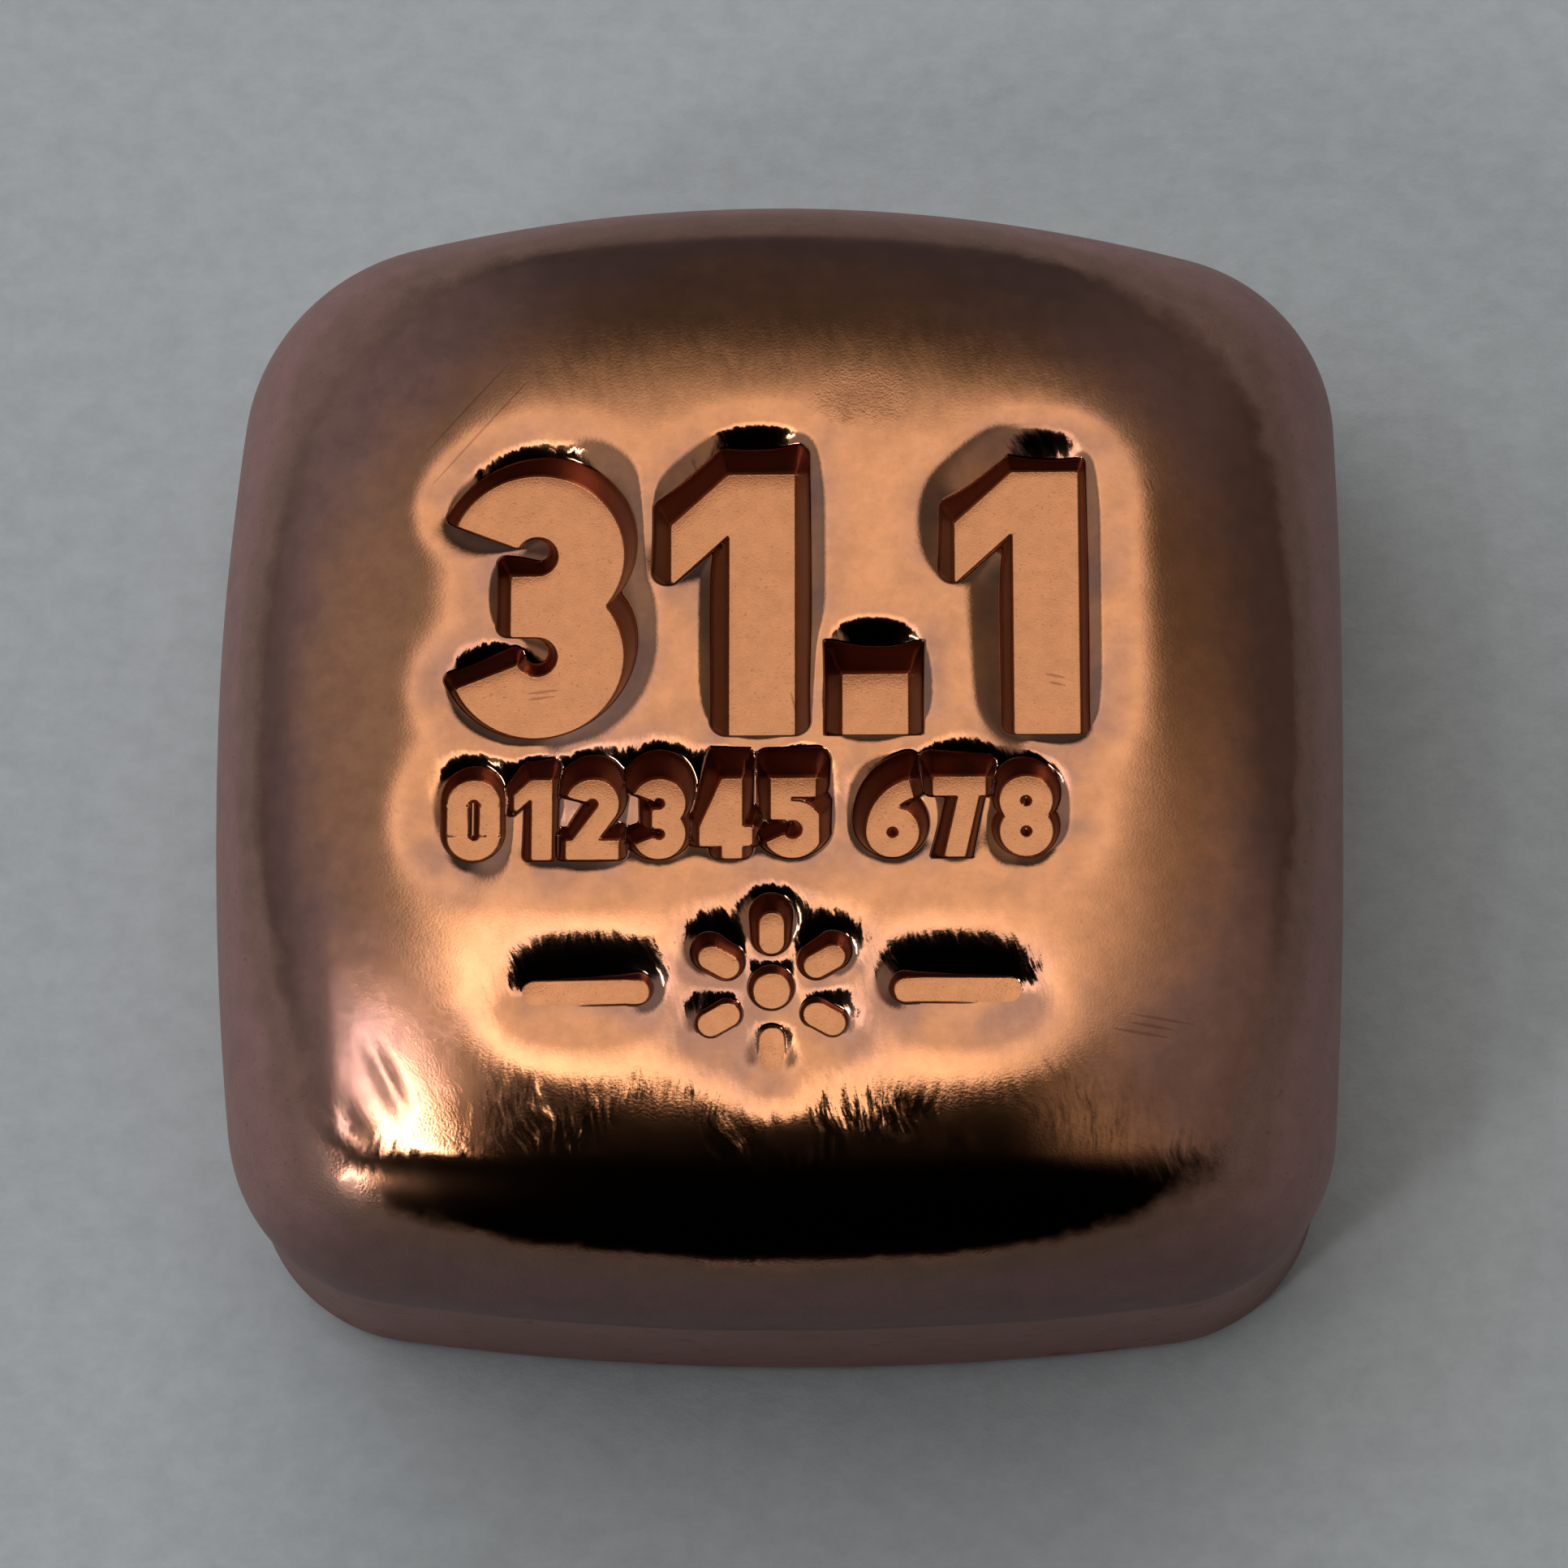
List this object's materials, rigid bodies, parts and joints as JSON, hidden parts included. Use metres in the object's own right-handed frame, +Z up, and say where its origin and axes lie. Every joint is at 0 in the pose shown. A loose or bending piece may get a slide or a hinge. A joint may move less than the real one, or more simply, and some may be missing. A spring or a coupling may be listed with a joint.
{
  "type": "copper ingot",
  "caption": "Small cast copper ingot, nearly square, with bowed sides, round corners, a drafted mould wall and a low crowned top with a struck mark.",
  "frame": {"origin": "on the base, under the middle of the ingot's bounding box", "axes": "+Z up, out of the crowned top; +Y along the length, towards the top edge of the struck mark; +X along the width, to the right as the mark is read"},
  "size_m": [0.0214, 0.022, 0.0094],
  "materials": {
    "copper": "satin"
  },
  "bodies": {
    "root": {"ingot": "copper"}
  },
  "joints": []
}
